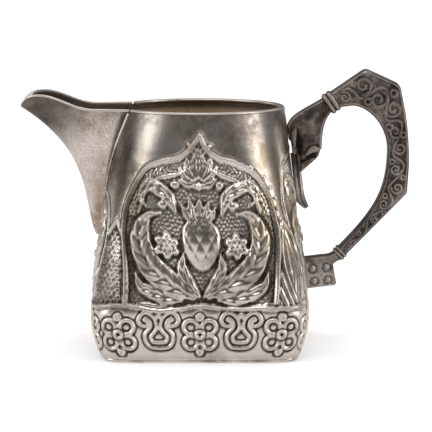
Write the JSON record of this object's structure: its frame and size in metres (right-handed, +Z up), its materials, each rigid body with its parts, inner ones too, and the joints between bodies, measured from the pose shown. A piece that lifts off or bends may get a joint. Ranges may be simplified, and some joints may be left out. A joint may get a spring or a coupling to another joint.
{
  "type": "creamer",
  "caption": "Silver cream jug with a rounded square foot, a round mouth, a beak-shaped pouring spout and an angular cast loop handle.",
  "frame": {"origin": "middle of the underside of the base plate, on the table", "axes": "+Z up; the handle points along +X and the spout along -X; the jug is alike on both sides of the XZ plane"},
  "size_m": [0.1298, 0.0722, 0.0934],
  "materials": {
    "chased_silver": "chased and oxidised sheet silver, bright on the high places",
    "cast_silver": "dark oxidised cast silver, worn on the edges",
    "bright_silver": "polished silver wire"
  },
  "bodies": {
    "root": {"body_shell": "chased_silver", "base_plate": "chased_silver", "spout": "chased_silver", "handle_grip": "cast_silver", "upper_collar": "cast_silver", "lower_collar": "cast_silver", "upper_bracket": "cast_silver", "bracket_tongue": "cast_silver", "lower_bracket": "cast_silver", "mouth_rim": "bright_silver", "spout_lip": "bright_silver", "rivet_1": "bright_silver", "rivet_2": "bright_silver", "rivet_3": "bright_silver", "rivet_4": "bright_silver"}
  },
  "joints": []
}
